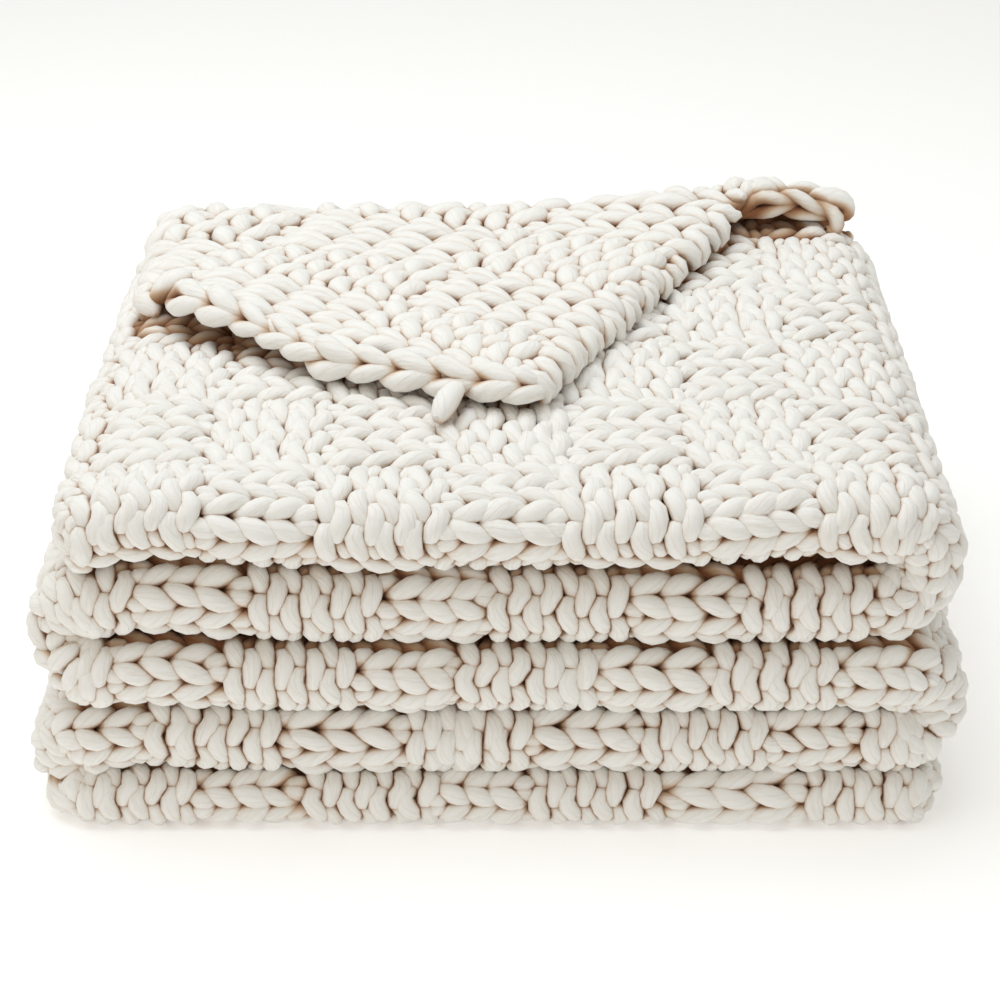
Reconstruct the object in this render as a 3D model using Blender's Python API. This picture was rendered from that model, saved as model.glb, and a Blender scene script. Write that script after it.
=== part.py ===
"""A chunky basketweave knit throw, folded back and forth into a square stack.

The throw is one piece of thick knitted cloth, so it is one closed solid. Its section is a single
back-and-forth line: ten layers joined by five folds at the front and four at the back. An eleventh
layer comes over the last fold at the back and lies on top as a turned-back corner.
Metres, +Z up, origin on the floor under the middle of the stack. The front folds face -Y.
"""

import math
from collections import namedtuple

import bmesh
import bpy

# ---------------------------------------------------------------- driving dimensions
STACK_HALF_DEPTH = 0.2025  # from the middle of the stack to its furthest fold, front or back
CORNER_RADIUS = 0.015  # the stack's corners seen from above
PINCHED_GAP = 0.0010  # between layers where a side edge is squeezed shut
PINCH_FROM = 0.84  # share of the half width past which the gaps close
EDGE_THINNING = 0.45  # how much thinner the cloth is at its rounded side edges
EDGE_FROM = 0.965
SETTLE = 0.075  # the stack is this share lower at its back left than at its front
FLAP_THICKNESS = 0.0160
FLAP_GAP = 0.0014
FLAP_ENDS = (-0.2170, 0.2200)
FREE_END_INSET = 0.012  # the cast-on end stops this far short of the folds above it

# One row for each front fold, from the floor up. Each is two layers of cloth joined at the front,
# and lower and upper hold where each of the two ends, left and right.
Ends = namedtuple("Ends", "left right")
Fold = namedtuple("Fold", "name thickness slit gap_under front back lower upper")
FOLDS = (
    Fold("first", 0.0125, 0.0015, 0.0000, -0.2000, 0.1975, Ends(-0.2280, 0.2270), Ends(-0.2370, 0.2295)),
    Fold("second", 0.0180, 0.0015, 0.0020, -0.2010, 0.2020, Ends(-0.2350, 0.2240), Ends(-0.2310, 0.2320)),
    Fold("third", 0.0155, 0.0015, 0.0020, -0.2015, 0.1990, Ends(-0.2340, 0.2370), Ends(-0.2350, 0.2330)),
    Fold("fourth", 0.0195, 0.0015, 0.0025, -0.1995, 0.2025, Ends(-0.2370, 0.2270), Ends(-0.2300, 0.2300)),
    Fold("fifth", 0.0190, 0.0020, 0.0030, -0.2025, 0.2005, Ends(-0.2245, 0.2290), Ends(-0.2210, 0.2250)),
)

# Where two layers gape: the cloth above lifts over a short stretch of the edge.
Mouth = namedtuple("Mouth", "under x y half_width half_depth lift")
MOUTHS = (
    Mouth("fifth", 0.150, -0.200, 0.055, 0.050, 0.0060),
    Mouth("fourth", -0.150, -0.200, 0.038, 0.045, 0.0040),
    Mouth("second", -0.178, -0.200, 0.030, 0.045, 0.0040),
    Mouth("flap", -0.165, 0.000, 0.048, 0.060, 0.0100),
    Mouth("flap", 0.165, 0.185, 0.040, 0.050, 0.0100),
)

# The free edge of the turned-back corner, from the left side round its point to the back.
EdgePoint = namedtuple("EdgePoint", "x y")
FLAP_EDGE = (
    EdgePoint(-0.2170, 0.0420),
    EdgePoint(-0.1860, 0.0220),
    EdgePoint(-0.0900, -0.0580),
    EdgePoint(0.0154, -0.0960),
    EdgePoint(0.0840, 0.0520),
    EdgePoint(0.1444, 0.1650),
    EdgePoint(0.1650, 0.1740),
    EdgePoint(0.2200, 0.1760),
)

# Sections across the width, as shares of the half width. They are closest at the rounded edges.
STATIONS = (
    -1.0, -0.985, -0.955, -0.91, -0.86, -0.74, -0.60, -0.415, -0.28, -0.10, 0.070,
    0.22, 0.382, 0.52, 0.658, 0.753, 0.84, 0.91, 0.955, 0.985, 1.0,
)
POINTS_ALONG_A_LAYER = 5
POINTS_ROUND_A_FOLD = 5

SectionPoint = namedtuple("SectionPoint", "x y z thickness")


# ---------------------------------------------------------------- shape of the stack
def ease(value, start, end):
    """0 before start, 1 after end, and smooth between."""
    share = min(1.0, max(0.0, (value - start) / (end - start)))
    return share * share * (3 - 2 * share)


def settle(x, y):
    """How much of its front height the stack keeps here."""
    return 1 - SETTLE * ease(y, -0.08, 0.20) * (1 - 0.75 * ease(x, -0.02, 0.16))


def lift(name, x, y):
    """How far the layer over this gap is raised by the mouths in it."""
    return sum(
        m.lift * math.exp(-(((x - m.x) / m.half_width) ** 2) - ((y - m.y) / m.half_depth) ** 2)
        for m in MOUTHS
        if m.under == name
    )


def gap(name, width, across, x, y):
    """The gap under a layer, closed up towards the side edges."""
    pinch = ease(abs(across), PINCH_FROM, 1.0)
    return (width + lift(name, x, y)) * (1 - pinch) + PINCHED_GAP * pinch


def layer_ends(layer):
    """The left and right ends of a layer at the front."""
    if layer == 2 * len(FOLDS):
        return FLAP_ENDS
    fold = FOLDS[layer // 2]
    return fold.upper if layer % 2 else fold.lower


def place_across(layer, across):
    left, right = layer_ends(layer)
    return left + (across + 1) / 2 * (right - left)


def layer_height(layer, across, y):
    """The middle height and the thickness of a layer, counted from 0 at the floor."""
    floor = 0.0
    x = place_across(layer, across)
    for number, fold in enumerate(FOLDS):
        floor += gap(fold.name, fold.gap_under, across, x, y) if number else 0.0
        for upper in (0, 1):
            floor += gap("", fold.slit, across, x, y) if upper else 0.0
            if layer == 2 * number + upper:
                share = settle(x, y)
                return (floor + fold.thickness / 2) * share, fold.thickness * share
            floor += fold.thickness
    floor += gap("flap", FLAP_GAP, across, x, y)
    return (floor + FLAP_THICKNESS / 2) * settle(x, y), FLAP_THICKNESS


def rounding(across):
    """How far the folds draw back to round the stack's corners."""
    half_width = (FLAP_ENDS[1] - FLAP_ENDS[0]) / 2
    into_corner = max(0.0, abs(across) * half_width - (half_width - CORNER_RADIUS))
    return CORNER_RADIUS - math.sqrt(max(0.0, CORNER_RADIUS**2 - into_corner**2))


def flap_edge_y(x):
    """How far forward the turned-back corner reaches at this place across."""
    for a, b in zip(FLAP_EDGE, FLAP_EDGE[1:]):
        if x <= b.x:
            return a.y + (b.y - a.y) * (x - a.x) / (b.x - a.x)
    return FLAP_EDGE[-1].y


def fold_round(lower, side, reach, across):
    """Where the curve of a fold starts, its middle height and its radius, side -1 at the front."""
    turn = reach
    for _ in range(3):
        low, thickness = layer_height(lower, across, turn)
        high, _ = layer_height(lower + 1, across, turn)
        turn = reach - side * ((high - low) / 2 + thickness / 2)
    return turn, (low + high) / 2, (high - low) / 2


def turn_of(lower, across):
    """The fold that joins a layer to the one above it."""
    fold = FOLDS[lower // 2]
    side = -1 if lower % 2 == 0 else 1
    reach = fold.front if side < 0 else fold.back
    return side, *fold_round(lower, side, reach - side * rounding(across), across)


def section(across):
    """The middle line of the cloth at one place across, from its cast-on end to the flap's edge."""
    line = []
    top = 2 * len(FOLDS)
    for layer in range(top + 1):
        x = place_across(layer, across)
        start = turn_of(layer - 1, across)[1] if layer else STACK_HALF_DEPTH - FREE_END_INSET
        if layer < top:
            end = turn_of(layer, across)[1]
        else:
            end = flap_edge_y(x)
        for i in range(POINTS_ALONG_A_LAYER):
            y = start + (end - start) * i / (POINTS_ALONG_A_LAYER - 1)
            z, thickness = layer_height(layer, across, y)
            line.append(SectionPoint(x, y, z, thickness))
        if layer == top:
            break
        side, turn, middle, radius = turn_of(layer, across)
        next_x = place_across(layer + 1, across)
        next_thickness = layer_height(layer + 1, across, turn)[1]
        for i in range(1, POINTS_ROUND_A_FOLD + 1):
            share = i / (POINTS_ROUND_A_FOLD + 1)
            angle = math.pi * share
            line.append(
                SectionPoint(
                    x + (next_x - x) * share,
                    turn + side * radius * math.sin(angle),
                    middle - radius * math.cos(angle),
                    thickness + (next_thickness - thickness) * share,
                )
            )
    return line


def outline(across):
    """The closed outline of the cloth's section: down one face, round its end and up the other."""
    line = section(across)
    thin = 1 - EDGE_THINNING * ease(abs(across), EDGE_FROM, 1.0)
    faces = ([], [])
    for i, here in enumerate(line):
        before, after = line[max(i - 1, 0)], line[min(i + 1, len(line) - 1)]
        along_y, along_z = after.y - before.y, after.z - before.z
        length = math.hypot(along_y, along_z)
        for face, side in zip(faces, (1, -1)):
            out = side * here.thickness / 2 * thin
            face.append((here.x, here.y - along_z / length * out, here.z + along_y / length * out))
    return faces[0] + faces[1][::-1]


# ---------------------------------------------------------------- building
def knit_material():
    material = bpy.data.materials.new("knit_yarn")
    material.use_nodes = True
    shader = material.node_tree.nodes["Principled BSDF"]
    shader.inputs["Base Color"].default_value = (0.83, 0.79, 0.71, 1.0)
    shader.inputs["Roughness"].default_value = 0.9
    shader.inputs["Metallic"].default_value = 0.0
    return material


def blanket():
    """A grid with a row for each section, rolled shut into a tube of the cloth's section."""
    outlines = [outline(across) for across in STATIONS]
    across_cells, along_cells = len(STATIONS) - 1, len(outlines[0])
    shape = bmesh.new()
    bmesh.ops.create_grid(shape, x_segments=across_cells, y_segments=along_cells, size=1.0)
    for vert in shape.verts:
        column = round((vert.co.x + 1) / 2 * across_cells)
        row = round((vert.co.y + 1) / 2 * along_cells)
        vert.co = outlines[column][row % along_cells]
    bmesh.ops.remove_doubles(shape, verts=shape.verts, dist=1e-6)
    open_edges = [edge for edge in shape.edges if edge.is_boundary]
    ends = bmesh.ops.holes_fill(shape, edges=open_edges, sides=0)["faces"]
    bmesh.ops.triangulate(shape, faces=ends, ngon_method="EAR_CLIP")
    bmesh.ops.recalc_face_normals(shape, faces=shape.faces)
    mesh = bpy.data.meshes.new("blanket")
    shape.to_mesh(mesh)
    shape.free()
    mesh.materials.append(knit_material())
    mesh.shade_smooth()
    mesh.set_sharp_from_angle(angle=math.radians(40))
    bpy.context.scene.collection.objects.link(bpy.data.objects.new("blanket", mesh))


for old in list(bpy.data.objects):
    bpy.data.objects.remove(old, do_unlink=True)
blanket()
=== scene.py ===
"""The looks of a chunky basketweave knit throw, folded into a stack with one corner turned back.

Every stitch that can be seen is a loop of real yarn, laid on the middle surface of the folded cloth.
A course is one yarn that runs over a fold from front to back, and courses lie side by side across
the width. Knit and purl stitches differ only in which of the two crossing yarns is on top.
"""

import math
import random
from collections import namedtuple

import bmesh
import bpy
import numpy as np
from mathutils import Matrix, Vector


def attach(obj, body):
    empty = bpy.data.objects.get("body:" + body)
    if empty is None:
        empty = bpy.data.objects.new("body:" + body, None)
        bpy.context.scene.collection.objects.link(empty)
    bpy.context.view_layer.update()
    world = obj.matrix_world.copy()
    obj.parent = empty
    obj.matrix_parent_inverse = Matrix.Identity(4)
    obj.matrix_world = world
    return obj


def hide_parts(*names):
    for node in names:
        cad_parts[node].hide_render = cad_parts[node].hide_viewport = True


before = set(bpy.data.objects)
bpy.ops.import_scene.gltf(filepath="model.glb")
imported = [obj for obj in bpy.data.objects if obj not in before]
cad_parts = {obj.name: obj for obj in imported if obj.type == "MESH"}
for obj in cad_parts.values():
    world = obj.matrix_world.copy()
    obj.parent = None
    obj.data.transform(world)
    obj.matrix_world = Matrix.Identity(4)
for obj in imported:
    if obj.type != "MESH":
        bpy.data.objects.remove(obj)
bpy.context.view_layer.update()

# ---- the folded cloth, as in the part
SETTLE = 0.075  # the stack is this share lower at its back left than at its front
SETTLE_BACK = (-0.08, 0.20)  # it settles between these distances back
SETTLE_RIGHT, SETTLE_LESS = (-0.02, 0.16), 0.75  # and between these places across it comes to settle less
PINCHED_GAP = 0.0010  # gaps between layers close to this at the sides
PINCH_FROM = 0.84  # they start to close at this share of the half width
FLAP_THICKNESS = 0.0160
FLAP_GAP = 0.0014
FLAP_ENDS = (-0.2170, 0.2200)
TOP_FOLD = 4  # folds are counted from 0 at the floor, and so are their layers
FLAP_LAYER = 10  # the turned-back corner lies over the ten layers of the folds

Ends = namedtuple("Ends", "left right")
Fold = namedtuple("Fold", "name thickness slit gap_under front back lower upper")
FOLDS = (
    Fold("first", 0.0125, 0.0015, 0.0000, -0.2000, 0.1975, Ends(-0.2280, 0.2270), Ends(-0.2370, 0.2295)),
    Fold("second", 0.0180, 0.0015, 0.0020, -0.2010, 0.2020, Ends(-0.2350, 0.2240), Ends(-0.2310, 0.2320)),
    Fold("third", 0.0155, 0.0015, 0.0020, -0.2015, 0.1990, Ends(-0.2340, 0.2370), Ends(-0.2350, 0.2330)),
    Fold("fourth", 0.0195, 0.0015, 0.0025, -0.1995, 0.2025, Ends(-0.2370, 0.2270), Ends(-0.2300, 0.2300)),
    Fold("fifth", 0.0190, 0.0020, 0.0030, -0.2025, 0.2005, Ends(-0.2245, 0.2290), Ends(-0.2210, 0.2250)),
)
Mouth = namedtuple("Mouth", "under x y half_width half_depth lift")
MOUTHS = (
    Mouth("fifth", 0.150, -0.200, 0.055, 0.050, 0.0060),
    Mouth("fourth", -0.150, -0.200, 0.038, 0.045, 0.0040),
    Mouth("second", -0.178, -0.200, 0.030, 0.045, 0.0040),
    Mouth("flap", -0.165, 0.000, 0.048, 0.060, 0.0100),
    Mouth("flap", 0.165, 0.185, 0.040, 0.050, 0.0100),
)
EdgePoint = namedtuple("EdgePoint", "x y")
FLAP_EDGE = (
    EdgePoint(-0.2170, 0.0420),
    EdgePoint(-0.1860, 0.0220),
    EdgePoint(-0.0900, -0.0580),
    EdgePoint(0.0154, -0.0960),
    EdgePoint(0.0840, 0.0520),
    EdgePoint(0.1444, 0.1650),
    EdgePoint(0.1650, 0.1740),
    EdgePoint(0.2200, 0.1760),
)

# ---- the knit
YARN = 0.0050  # radius of the soft roving yarn
WALE = 0.0260  # from one column of stitches to the next, on the outside of a fold
COURSE = 0.0152  # from one row of stitches to the next
SWELL = 0.0020  # the stitches fill the folds out by this much, so that neighbours touch
OUTSIDE = 0.0080  # the stitches are at their pitch this far outside the cloth's middle surface
CROSSING = 0.0040  # how far the two yarns of a crossing lie from the middle surface
INSET = 0.0055  # the inner cloth lies this far inside the stitches' middle surface
# How many courses a loop reaches either way from its middle, and how far it swells past its neck as a
# share of the wale. A knit stitch shows the loop's legs, and a purl stitch its head and foot.
KNIT_REACH, PURL_REACH = 0.90, 0.83
KNIT_BULGE, PURL_BULGE = 0.250, 0.300
PURL_LEAN, PURL_LEANS = 0.075, 0.045  # how far a purl loop's head leans over, in courses, and its spread
PURL_FORWARD = 0.28  # how much longer than its legs a purl loop's head stays in front
KIND_CHANGE = 0.6  # a leg turns from one kind of stitch to the next within this angle of its middle
NECK_CHANGE = 0.9  # and a neck within this angle
# Hand knitting is uneven: these are the spreads of a loop's place in wales and in courses, of its height
# and of its thickness. Two slow waves that cross carry whole rows to and fro by WANDER courses.
WALE_SPREAD, COURSE_SPREAD, HEIGHT_SPREAD, YARN_SPREAD = 0.034, 0.06, 0.0006, 0.07
WANDER = 0.13
BLOCK_COURSES = 4
BLOCK_WALES = 3

# Where the blocks of each front fold change, from right to left and four courses apart. first_knit
# says if the block right of the first boundary is knit.
Blocks = namedtuple("Blocks", "fold first_knit boundaries")
BLOCKS = (
    Blocks(4, False, (0.1496, 0.0889, 0.0248, -0.0364, -0.0972, -0.1555)),
    Blocks(3, True, (0.1758, 0.1136, 0.0538, -0.0099, -0.0677, -0.1314, -0.1930)),
    Blocks(2, True, (0.1611, 0.1000, 0.0390, -0.0260, -0.0810, -0.1451)),
    Blocks(1, False, (0.1783, 0.1272, 0.0669, 0.0056, -0.0542, -0.1206, -0.1859)),
    Blocks(0, False, (0.1513, 0.0713, 0.0092, -0.0405, -0.1082, -0.1646)),
)

# At the sides the cloth of one or two folds turns round together. side is 1 on the right; x is where
# it starts to turn; above and below are the outermost layers, and squash is its depth for its height.
Turn = namedtuple("Turn", "side x above below squash")
RIGHT_UPPER = Turn(1, 0.1900, 9, 6, 1.0)
RIGHT_MIDDLE = Turn(1, 0.2020, 5, 2, 1.0)
RIGHT_FLOOR = Turn(1, 0.2110, 1, 0, 1.3)
LEFT_UPPER = Turn(-1, -0.2040, 9, 8, 1.0)
LEFT_MIDDLE = Turn(-1, -0.2030, 7, 4, 0.92)
LEFT_FLOOR = Turn(-1, -0.2090, 3, 0, 0.95)
RIGHT_CORNER = Turn(1, 0.2000, 10, 9, 1.0)
LEFT_CORNER = Turn(-1, -0.1950, 10, 9, 0.6)
BACK_END = 0.2020  # the back folds start to close at this distance from the middle
CORNER_FLARE = 0.0060  # the turned-back corner's side stands out this much further at the back
SIDE_TUCK = 0.06  # how far the turned sides draw in from the front and back folds

# One row for each front fold: its turns right and left, and how it takes part in them. over goes all
# the way round the side, under ends inside the turn of the fold above it, and alone closes on itself.
FrontCloth = namedtuple("FrontCloth", "name fold right right_part left left_part first_wale")
FRONT_CLOTHS = (
    FrontCloth("upper", 4, RIGHT_UPPER, "over", LEFT_UPPER, "alone", -2),
    FrontCloth("second", 3, RIGHT_UPPER, "under", LEFT_MIDDLE, "over", -1),
    FrontCloth("third", 2, RIGHT_MIDDLE, "over", LEFT_MIDDLE, "under", -1),
    FrontCloth("fourth", 1, RIGHT_MIDDLE, "under", LEFT_FLOOR, "over", -1),
    FrontCloth("floor", 0, RIGHT_FLOOR, "alone", LEFT_FLOOR, "under", -1),
)

# Shelter is 1 for yarn shut in between two layers and 0 for yarn that lies quite open, and the yarn's colour
# is painted with shade the more sheltered it is. It grows from this share of a fold's quarter turn to this
# far past its end, and within this angle of a side turn's ends.
FOLD_SHELTER_FROM, FOLD_SHELTER_PAST = 0.62, 0.010
TURN_SHELTER = math.radians(16)
FLANK = (0.010, 0.030)  # a side turn is sheltered from here on, counted from its outermost line
UNDER_CORNER = (-0.010, 0.030)  # where the turned-back corner's painted shadow begins on the cloth below it
# At its ends, where it lifts, its painted shadow reaches this much further forward. It starts to lift between
# these distances from the middle.
UNDER_LIP, UNDER_LEFT = 0.026, 0.018
DEEP_UNDER = 0.62  # the painted shadow far under the corner
LIP, LEFT_LIFT = (0.080, 0.130), (0.100, 0.150)
FRONT_SHELTER = 0.10  # the front folds are painted with a little shade, as they get less light than the top
OPEN_TOP = 0.30  # painted light: light reaches deeper between the stitches on top of the stack
BACK_SHELTER = 0.22  # the most painted shade that the back folds get, since they lie more openly
CORNER_SHELTER = 0.08  # painted shade: less light reaches between the corner's stitches than between the top's
RING_BACK = (0.13, 0.17)  # the turned sides come out at the back between these places, and their painted shade ends there
RING_OPENS = math.radians(38)  # past this angle a turned side has come out from between its neighbours

# How far round a side turn its stitches go: those of a cloth inside it, of the cloth that goes over it, and
# of its own whole ring of so many wales.
UNDER_ENDS, OVER_ENDS, RING_ENDS = math.radians(56), math.radians(125), math.radians(172)
RING_WALES = 17
# Its inner cloth starts this far before the turn, and ends this many wales past its stitches.
SIDE_BACKING, BACKING_PAST = 0.02, 0.6
END_ROUNDER = 0.001  # a side's closed end is rounder than its cloth by this much
TOP_TURN, TOP_QUARTER = -0.1835, 0.0291  # where the top fold starts to turn, and how long a quarter turn is
TOP_GOES_UNDER = 0.035  # stitches on the top go on this far under the corner
UNDER_WALES = (-15, -2)  # the stitches on the stack's underside
FARTHEST = 0.34  # laid out flat, no side turn reaches as far from the middle as this

# The turned-back corner is pulled askew, so its stitches are longer and its rows curve. Each point
# gives where a stitch lies, in courses from its right edge and in wales from its front edge.
CornerPoint = namedtuple("CornerPoint", "course wale x y")
CORNER_GRAIN = (
    CornerPoint(0, 0.0, 0.0154, -0.0960),
    CornerPoint(5, 0.0, -0.0880, -0.0560),
    CornerPoint(10.5, 0.0, -0.1860, 0.0220),
    CornerPoint(1, 2.5, 0.0324, -0.0248),
    CornerPoint(6, 2.5, -0.0645, 0.0230),
    CornerPoint(11, 2.5, -0.1720, 0.0620),
    CornerPoint(1, 5.5, 0.0473, 0.0258),
    CornerPoint(6, 5.5, -0.0493, 0.0963),
    CornerPoint(11, 5.5, -0.1600, 0.1200),
    CornerPoint(0, 8.5, 0.1080, 0.0930),
    CornerPoint(1, 8.5, 0.0904, 0.0827),
    CornerPoint(6, 8.5, 0.0080, 0.1550),
    CornerPoint(11, 8.5, -0.1350, 0.1850),
    CornerPoint(0, 11.0, 0.1444, 0.1650),
    CornerPoint(6, 11.5, 0.0600, 0.2080),
    CornerPoint(11, 11.5, -0.1050, 0.2500),
)
CORNER_BLOCK_COURSES = 5
CORNER_FULLNESS, CORNER_PURL_SWELL = 1.14, 0.20  # the longer stitches there let the yarn swell
CORNER_TUCK = 0.02  # how far its turned sides draw in
FLARE_BACK = (0.10, 0.18)  # its side starts to flare between these places
CORNER_PAST_LEFT, CORNER_PAST_RIGHT = 0.036, 0.018  # how far it goes round the sides
CORNER_GOES_UNDER = 0.010  # how far past its half turn at the back
EDGE_STITCH = 0.0215  # length of a chain stitch along the corner's free edge
CHAIN_FROM = -0.1900  # left of here the corner is drawn down onto the stack and shows no chain
EDGE_DIVE, SEAM_DIVE = 0.0030, 0.0110  # how far the corner's yarns dive at the chain, and left of it
EDGE_DIVES = (0.001, 0.016)  # they come up again between these distances from the edge
TIP_ENDS = 0.010  # right of the tip the dive gives way to the curl within this distance
# Along the right side there is no chain: the cloth curls down over its edge on this radius. It starts
# to curl this far inside the edge, and goes on this far past it. At the lip it only laps the chain.
CURL, CURL_START, CURL_PAST = 0.0062, 0.0055, 0.0085
LIP_LAP = 0.0030
CURL_MOST = math.radians(160)  # it curls no further round than this
BEHIND_CHAIN = 0.0020  # left of the tip the corner's yarns end this far behind the edge
CHAIN_DIVE = 0.0100  # how far the chain's own ends dive
CHAIN_ENDS = (-0.012, 0.016)  # they dive between these distances from the chain's ends
CHAIN_INSIDE = 0.002  # the chain's middle line lies this far inside the edge
CHAIN_SWAY, CHAIN_WAVE = 0.012, 0.012  # it sways by its share of this, in a wave as long as two pi times that
CHAIN_SHELTER = (math.radians(110), math.radians(200))  # its underside is painted in shade from here round to here
NEAR = 0.002  # the edge's slope is taken over this far either way


# ---- shape of the stack
def ease(value, start, end):
    """0 before start, 1 after end, and smooth between."""
    share = np.clip((value - start) / (end - start), 0.0, 1.0)
    return share * share * (3 - 2 * share)


def settle(x, y):
    """How much of its front height the stack keeps here."""
    return 1 - SETTLE * ease(y, *SETTLE_BACK) * (1 - SETTLE_LESS * ease(x, *SETTLE_RIGHT))


def gap(name, width, across, x, y):
    """The gap under a layer, raised where it gapes and closed up towards the side edges."""
    lift = sum(
        m.lift * np.exp(-(((x - m.x) / m.half_width) ** 2) - ((y - m.y) / m.half_depth) ** 2)
        for m in MOUTHS
        if m.under == name
    )
    pinch = ease(abs(across), PINCH_FROM, 1.0)
    return (width + lift) * (1 - pinch) + PINCHED_GAP * pinch


def layer_height(layer, x, y):
    """The middle height and the thickness of a layer, counted from 0 at the floor."""
    if layer == FLAP_LAYER:
        ends = FLAP_ENDS
    else:
        ends = FOLDS[layer // 2].upper if layer % 2 else FOLDS[layer // 2].lower
    across = np.clip(2 * (x - ends[0]) / (ends[1] - ends[0]) - 1, -1, 1)
    floor = 0.0 * y
    for number, fold in enumerate(FOLDS):
        floor = floor + (gap(fold.name, fold.gap_under, across, x, y) if number else 0.0)
        for upper in (0, 1):
            floor = floor + (gap("", fold.slit, across, x, y) if upper else 0.0)
            if layer == 2 * number + upper:
                share = settle(x, y)
                return (floor + fold.thickness / 2) * share, fold.thickness * share
            floor = floor + fold.thickness
    floor = floor + gap("flap", FLAP_GAP, across, x, y)
    return (floor + FLAP_THICKNESS / 2) * settle(x, y), FLAP_THICKNESS


def flap_edge_y(x):
    """How far forward the turned-back corner reaches at this place across."""
    return np.interp(x, [p.x for p in FLAP_EDGE], [p.y for p in FLAP_EDGE])


def fold_round(lower, side, x):
    """Where the fold over a layer starts to turn, its middle height and its radius."""
    fold = FOLDS[lower // 2]
    reach = fold.front if side < 0 else fold.back
    turn = reach
    for _ in range(3):
        low, thickness = layer_height(lower, x, turn)
        high, _ = layer_height(lower + 1, x, turn)
        turn = reach - side * ((high - low) / 2 + thickness / 2)
    return turn, (low + high) / 2, (high - low) / 2


def round_a_fold(lower, side, x, away):
    """The cloth's line over a fold, at distances away from its outermost line, up the upper layer.

    The distances are counted on the outside of the cloth. Returns y and z.
    """
    turn, middle, radius = fold_round(lower, side, x)
    radius = radius + SWELL
    quarter = math.pi / 2 * (radius + OUTSIDE)
    angle = np.clip(away / (radius + OUTSIDE), -math.pi / 2, math.pi / 2)
    beyond = np.maximum(np.abs(away) - quarter, 0.0)
    y = turn + side * (radius * np.cos(angle) - beyond)
    z = middle + radius * np.sin(angle)
    z = np.where((beyond > 0) & (away > 0), layer_height(lower + 1, x, y)[0] + SWELL, z)
    z = np.where((beyond > 0) & (away < 0), layer_height(lower, x, y)[0] - SWELL, z)
    return y, z


def between_folds(lower, side, x, away):
    """0 on the outermost part of a fold, and 1 where its cloth has passed in between its neighbours."""
    quarter = math.pi / 2 * (fold_round(lower, side, x)[2] + SWELL + OUTSIDE)
    return ease(np.abs(away), FOLD_SHELTER_FROM * quarter, quarter + FOLD_SHELTER_PAST)


def between_turns(turn, angle):
    """The same for a side turn, whose top is open where nothing lies above it."""
    top = 0.0 if turn.above >= FLAP_LAYER - 1 else ease(-angle, -TURN_SHELTER, 0.0)
    return max(top, ease(angle, math.pi - TURN_SHELTER, math.pi))


def curl_under(y, z, fold):
    """Turns the far end of an upper layer down and back in, so that a side's end is closed."""
    radius = fold.thickness / 2 + END_ROUNDER
    start = fold.back - radius - fold.thickness / 2
    round_it = np.maximum(y - start, 0.0)
    over = np.minimum(round_it / (radius + OUTSIDE), math.pi)
    past = np.maximum(round_it - math.pi * (radius + OUTSIDE), 0.0)
    y = np.where(round_it > 0, start + radius * np.sin(over) - past, y)
    return y, z - radius * (1 - np.cos(over))


# ---- places on the cloth
COURSE_STEP, WALE_STEP = 0.25, 0.125  # spacing of the grids, in stitches


class Spread:
    """A stretch of cloth as a grid, read at places u, v.

    It holds points, outward directions, and how far each point is sheltered between folds, which sets its
    painted shade.
    """

    def __init__(self, us, vs, line):
        rows = [line(u, vs) for u in us]
        self.us, self.vs = us, vs
        self.points = np.array([row[0] for row in rows])
        self.outward = np.array([row[1] for row in rows])
        self.shelter = np.array([row[2] for row in rows])[..., None]

    def at(self, u, v):
        row = np.clip((u - self.us[0]) / (self.us[1] - self.us[0]), 0, len(self.us) - 1.001)
        column = np.clip((v - self.vs[0]) / (self.vs[1] - self.vs[0]), 0, len(self.vs) - 1.001)
        i, j = row.astype(int), column.astype(int)
        s, t = (row - i)[..., None], (column - j)[..., None]

        def mix(grid):
            near = grid[i, j] * (1 - t) + grid[i, j + 1] * t
            far = grid[i + 1, j] * (1 - t) + grid[i + 1, j + 1] * t
            return near * (1 - s) + far * s

        outward = mix(self.outward)
        outward = outward / np.linalg.norm(outward, axis=-1, keepdims=True)
        return mix(self.points), outward, mix(self.shelter)[..., 0]


def outward_of(y, z):
    """The outward direction of a line of cloth, in y and z, left of the way it runs."""
    along_y, along_z = np.gradient(y), np.gradient(z)
    length = np.hypot(along_y, along_z) + 1e-12
    return -along_z / length, along_y / length


def turn_angle(turn, distance, y):
    """The middle height of a side turn, and how far round it a distance measured on its outside goes."""
    above = layer_height(turn.above, turn.x, y)[0]
    below = layer_height(turn.below, turn.x, y)[0]
    outer = float(np.mean(above - below)) / 2 + OUTSIDE
    half_way_round = math.pi * outer * math.sqrt((1 + turn.squash**2) / 2)
    return (above + below) / 2, min(math.pi, math.pi * distance / half_way_round)


def lay(turn, x, y, z, y_front, y_back, tuck=SIDE_TUCK):
    """Points and outward directions of a line of cloth, and how far it goes round a side turn, if it has one.

    x is where it lies, or would lie if it went on flat. The turn's height is read no further forward than
    y_front and no further back than y_back.
    """
    out_y, out_z = outward_of(y, z)
    if turn is None:
        return np.column_stack([x + 0 * y, y, z]), np.column_stack([0 * y, out_y, out_z]), 0.0
    centre, angle = turn_angle(turn, abs(x - turn.x), np.clip(y, y_front, y_back))
    arm = z - centre
    across = turn.x + turn.side * turn.squash * np.abs(arm) * math.sin(angle)
    points = np.column_stack([across, y * (1 - tuck * math.sin(angle) ** 2), centre + arm * math.cos(angle)])
    out_x = turn.side * np.sign(arm + 1e-9) * out_z * math.sin(angle) / turn.squash
    out = np.column_stack([out_x, out_y, out_z * math.cos(angle)])
    return points, out / np.linalg.norm(out, axis=1, keepdims=True), angle


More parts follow.
